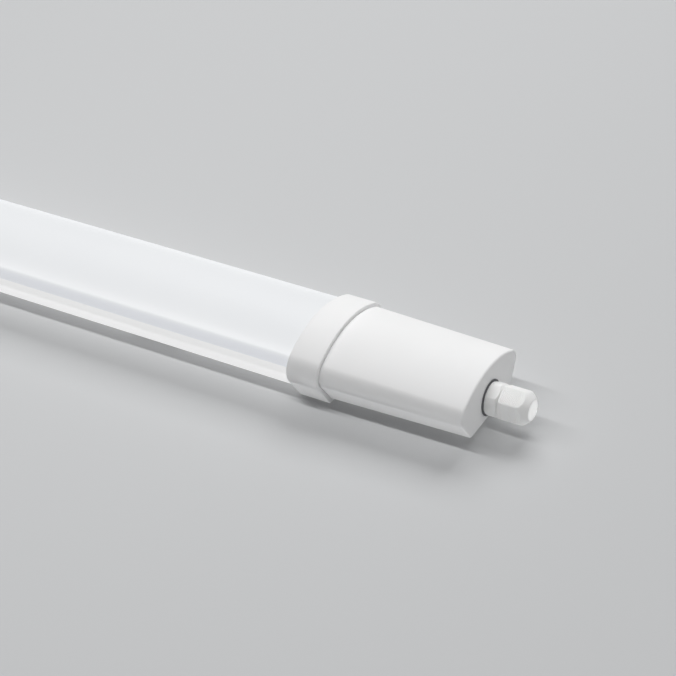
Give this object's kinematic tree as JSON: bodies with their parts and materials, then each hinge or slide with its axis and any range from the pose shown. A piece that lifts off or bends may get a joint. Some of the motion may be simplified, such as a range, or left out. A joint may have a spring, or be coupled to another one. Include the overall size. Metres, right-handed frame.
{
  "type": "led batten luminaire",
  "caption": "Sealed linear LED light with an opal domed diffuser on a white housing, raised end collars, tapered pull-off end caps, screwed cable glands and sliding back clips.",
  "frame": {"origin": "centre of the mounting plane, under the middle of the tube, level with the backs of the collars and clips", "axes": "+X along the tube towards the end that holds the terminal block, +Y across it, +Z out through the diffuser"},
  "size_m": [0.6466, 0.0664, 0.0371],
  "materials": {
    "opal_diffuser": "satin opal polycarbonate",
    "white_housing": "satin white polycarbonate",
    "white_cap": "satin moulded white polycarbonate",
    "white_nylon": "satin moulded nylon",
    "black_rubber": "matt EPDM rubber",
    "grey_silicone": "matt silicone",
    "aluminium": "mill finish sheet",
    "board_white": "white solder resist",
    "board_green": "green solder resist",
    "zinc_steel": "zinc plated",
    "stainless": "brushed stainless strip",
    "brown_lead": "PVC insulation",
    "blue_lead": "PVC insulation",
    "green_lead": "PVC insulation",
    "red_lead": "PVC insulation",
    "black_lead": "PVC insulation"
  },
  "bodies": {
    "luminaire": {"diffuser_cover": "opal_diffuser", "housing": "white_housing", "driver_base": "white_housing", "driver_lid": "white_housing", "gear_tray": "aluminium", "led_board": "board_white", "driver_board": "board_green", "terminal_block": "white_nylon", "earth_tag": "zinc_steel", "earth_screw": "zinc_steel", "terminal_screw_l": "zinc_steel", "terminal_screw_n": "zinc_steel", "terminal_screw_e": "zinc_steel", "driver_screw_out": "zinc_steel", "driver_screw_in": "zinc_steel", "lead_live": "brown_lead", "lead_neutral": "blue_lead", "lead_earth": "green_lead", "lead_led_plus": "red_lead", "lead_led_minus": "black_lead", "end_collar_a": "white_cap", "end_collar_b": "white_cap"},
    "end_cap_a": {"end_cap_a": "white_cap", "cap_gasket_a": "grey_silicone", "gland_washer_a": "black_rubber", "gland_body_a": "white_nylon", "gland_locknut_a": "white_nylon"},
    "gland_insert_a": {"gland_seal_a": "black_rubber", "gland_plug_a": "white_nylon"},
    "gland_nut_a": {"gland_nut_a": "white_nylon"},
    "mounting_clip_a": {"mounting_clip_a": "stainless"},
    "end_cap_b": {"end_cap_b": "white_cap", "cap_gasket_b": "grey_silicone", "gland_washer_b": "black_rubber", "gland_body_b": "white_nylon", "gland_locknut_b": "white_nylon"},
    "gland_insert_b": {"gland_seal_b": "black_rubber", "gland_plug_b": "white_nylon"},
    "gland_nut_b": {"gland_nut_b": "white_nylon"},
    "mounting_clip_b": {"mounting_clip_b": "stainless"}
  },
  "joints": [
    {"name": "cap_a_pull", "type": "slide", "parent": "luminaire", "child": "end_cap_a", "axis": [1, 0, 0], "range_m": [0, 0.06]},
    {"name": "insert_a_advance", "type": "slide", "parent": "end_cap_a", "child": "gland_insert_a", "axis": [1, 0, 0], "range_m": [0, 0.008]},
    {"name": "nut_a_turn", "type": "hinge", "parent": "gland_insert_a", "child": "gland_nut_a", "pos_m": [0.315, 0, 0.01505], "axis": [1, 0, 0], "range_deg": [0, 1800]},
    {"name": "clip_a_slide", "type": "slide", "parent": "luminaire", "child": "mounting_clip_a", "axis": [1, 0, 0], "range_m": [-0.09, 0.07]},
    {"name": "cap_b_pull", "type": "slide", "parent": "luminaire", "child": "end_cap_b", "axis": [-1, 0, 0], "range_m": [0, 0.06]},
    {"name": "insert_b_advance", "type": "slide", "parent": "end_cap_b", "child": "gland_insert_b", "axis": [-1, 0, 0], "range_m": [0, 0.008]},
    {"name": "nut_b_turn", "type": "hinge", "parent": "gland_insert_b", "child": "gland_nut_b", "pos_m": [-0.315, 0, 0.01505], "axis": [-1, 0, 0], "range_deg": [0, 1800]},
    {"name": "clip_b_slide", "type": "slide", "parent": "luminaire", "child": "mounting_clip_b", "axis": [-1, 0, 0], "range_m": [-0.09, 0.07]}
  ],
  "couplings": [
    {"joint": "insert_a_advance", "follows": "nut_a_turn", "m_per_rad": 0.00023873},
    {"joint": "insert_b_advance", "follows": "nut_b_turn", "m_per_rad": 0.00023873}
  ]
}
